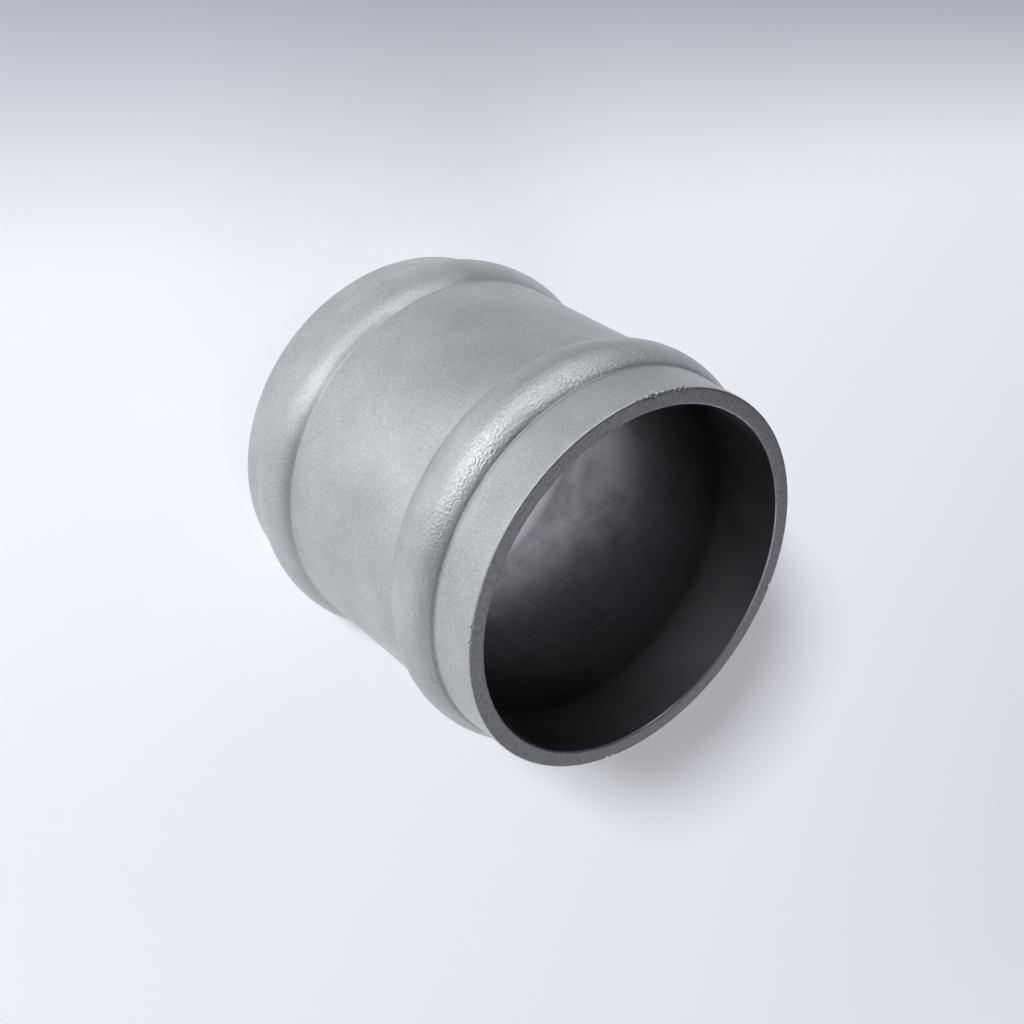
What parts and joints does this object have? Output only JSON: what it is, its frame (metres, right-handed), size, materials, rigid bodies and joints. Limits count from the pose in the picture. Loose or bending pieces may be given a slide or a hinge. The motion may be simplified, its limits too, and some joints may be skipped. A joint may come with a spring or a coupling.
{
  "type": "downpipe socket",
  "caption": "Loose cast aluminium sleeve with a round bead near each mouth, which slides over the meeting ends of round downpipe lengths and joins them.",
  "frame": {"origin": "centre of the lower mouth's plane, on the bore axis, where the socket stands on its end", "axes": "+Z along the bore axis, from the lower mouth to the upper one; the section is the same all round, so +X is free"},
  "size_m": [0.0966, 0.0966, 0.09],
  "materials": {
    "cast_aluminium": "satin shot-blasted casting skin, with darker fettled mouth faces"
  },
  "bodies": {
    "root": {"socket": "cast_aluminium"}
  },
  "joints": []
}
